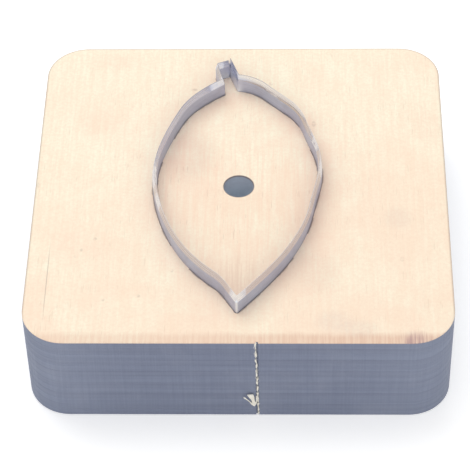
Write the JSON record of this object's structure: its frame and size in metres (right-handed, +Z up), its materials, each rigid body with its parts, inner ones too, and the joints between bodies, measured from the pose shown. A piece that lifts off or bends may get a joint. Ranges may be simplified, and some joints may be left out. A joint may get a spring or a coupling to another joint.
{
  "type": "steel rule die",
  "caption": "Small steel rule die: a square wooden die board holding a bent steel cutting rule that stamps out a leaf with a stalk.",
  "frame": {"origin": "middle of the board's underside", "axes": "+X to the right and +Y to the back as the picture shows the die, with the leaf's tip to the front, +Z up to the cutting edge"},
  "size_m": [0.069, 0.069, 0.0217],
  "materials": {
    "board_wood": "raw plywood with charred sides",
    "rule_steel": "satin"
  },
  "bodies": {
    "root": {"die_board": "board_wood", "cutting_rule": "rule_steel"}
  },
  "joints": []
}
